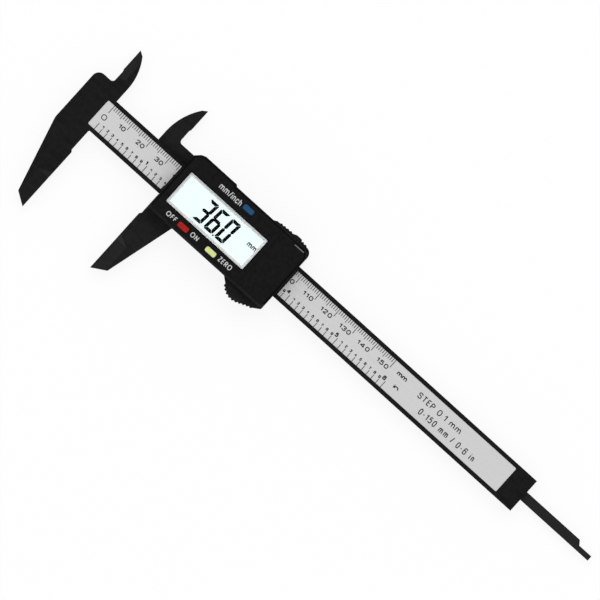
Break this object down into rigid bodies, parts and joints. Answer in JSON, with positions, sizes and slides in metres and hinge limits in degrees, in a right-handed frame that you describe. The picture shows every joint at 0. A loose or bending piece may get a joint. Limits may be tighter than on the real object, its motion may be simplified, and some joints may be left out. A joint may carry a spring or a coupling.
{
  "type": "digital caliper",
  "caption": "Plastic digital caliper with outside and inside jaws, depth rod, display, push buttons and a beam with millimetre and inch scales, opened part way.",
  "frame": {"origin": "where the plane in which the outside jaws close meets the beam's centre line, on the surface that the caliper lies on", "axes": "+X along the beam towards the depth rod's tip, +Y towards the inside jaws, +Z out of the display"},
  "size_m": [0.2741, 0.0772, 0.0148],
  "materials": {
    "black_plastic": "fine matt texture, black, fibre-filled",
    "label_film": "satin silver film with printed graduations",
    "laminate": "green solder mask over glass-fibre laminate",
    "black_steel": "black oxide finish",
    "screw_steel": "zinc plated",
    "spring_steel": "bright spring strip",
    "gib_brass": "plain rolled strip",
    "chip_resin": "black resin drop",
    "component_body": "ceramic and tinned",
    "elastomer": "layered conductive silicone",
    "holder_plastic": "natural white moulding",
    "reflector_film": "silvered film",
    "display_glass": "clear, segments printed inside",
    "polariser_film": "grey-green film",
    "bezel_plastic": "pale grey",
    "window_plastic": "clear acrylic",
    "blue_plastic": "satin",
    "red_plastic": "satin",
    "yellow_plastic": "satin",
    "cell_can": "nickel plated"
  },
  "bodies": {
    "beam": {"beam_with_fixed_jaws": "black_plastic", "stator_strip": "laminate", "scale_label": "label_film", "end_stop": "black_plastic", "end_stop_screws": "screw_steel"},
    "slider": {"slider_frame": "black_plastic", "back_plate": "black_plastic", "case_screws": "screw_steel", "depth_rod": "black_steel", "depth_rod_screw": "screw_steel", "gib_strip": "gib_brass", "gib_spring": "spring_steel", "circuit_board": "laminate", "chip_cap": "chip_resin", "board_components": "component_body", "snap_domes": "spring_steel", "zebra_strip": "elastomer", "lcd_holder": "holder_plastic", "lcd_reflector": "reflector_film", "lcd_rear_glass": "display_glass", "lcd_front_glass": "display_glass", "lcd_polariser": "polariser_film", "lcd_bezel": "bezel_plastic", "display_lens": "window_plastic", "display_cover": "black_plastic", "button_cell": "cell_can", "battery_contact_plus": "spring_steel", "battery_contact_minus": "spring_steel"},
    "unit_button": {"unit_button": "blue_plastic"},
    "power_button": {"power_button": "red_plastic"},
    "zero_button": {"zero_button": "yellow_plastic"},
    "battery_cover": {"battery_cover": "black_plastic"}
  },
  "joints": [
    {"name": "jaw_slide", "type": "slide", "parent": "beam", "child": "slider", "axis": [1, 0, 0], "range_m": [-0.036, 0.118]},
    {"name": "unit_press", "type": "slide", "parent": "slider", "child": "unit_button", "axis": [0, 0, -1], "range_m": [0, 0.00035], "stiffness_N_per_m": 2000},
    {"name": "power_press", "type": "slide", "parent": "slider", "child": "power_button", "axis": [0, 0, -1], "range_m": [0, 0.00035], "stiffness_N_per_m": 2000},
    {"name": "zero_press", "type": "slide", "parent": "slider", "child": "zero_button", "axis": [0, 0, -1], "range_m": [0, 0.00035], "stiffness_N_per_m": 2000},
    {"name": "battery_cover_slide", "type": "slide", "parent": "slider", "child": "battery_cover", "axis": [1, 0, 0], "range_m": [0, 0.012]}
  ]
}
